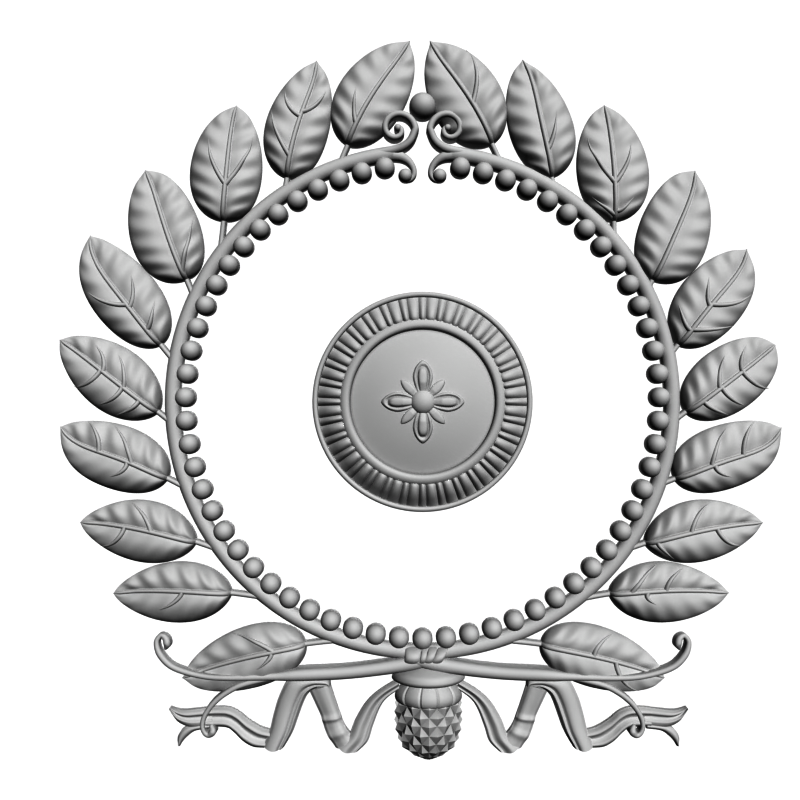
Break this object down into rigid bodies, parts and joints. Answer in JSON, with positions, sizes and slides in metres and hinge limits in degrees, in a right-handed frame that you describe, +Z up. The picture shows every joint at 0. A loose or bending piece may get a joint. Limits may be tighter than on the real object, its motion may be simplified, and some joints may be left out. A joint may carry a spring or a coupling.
{
  "type": "laurel wreath onlay with centre rosette",
  "caption": "Carved wall onlay: a laurel wreath on a beaded ring, tied at the foot with folded ribbons and a hanging pine cone, and a separate round flower rosette at its centre.",
  "frame": {"origin": "centre of the ring, on the flat back of the centre rosette", "axes": "+Y into the wall, at right angles to the flat back; the carved front faces -Y; +Z up, towards the ball at the top; +X to the right as the viewer sees the front"},
  "size_m": [0.5999, 0.0241, 0.5969],
  "materials": {
    "laurel_wreath": "satin grey primer",
    "centre_rosette": "satin grey primer"
  },
  "bodies": {
    "root": {"laurel_wreath": "laurel_wreath", "centre_rosette": "centre_rosette"}
  },
  "joints": []
}
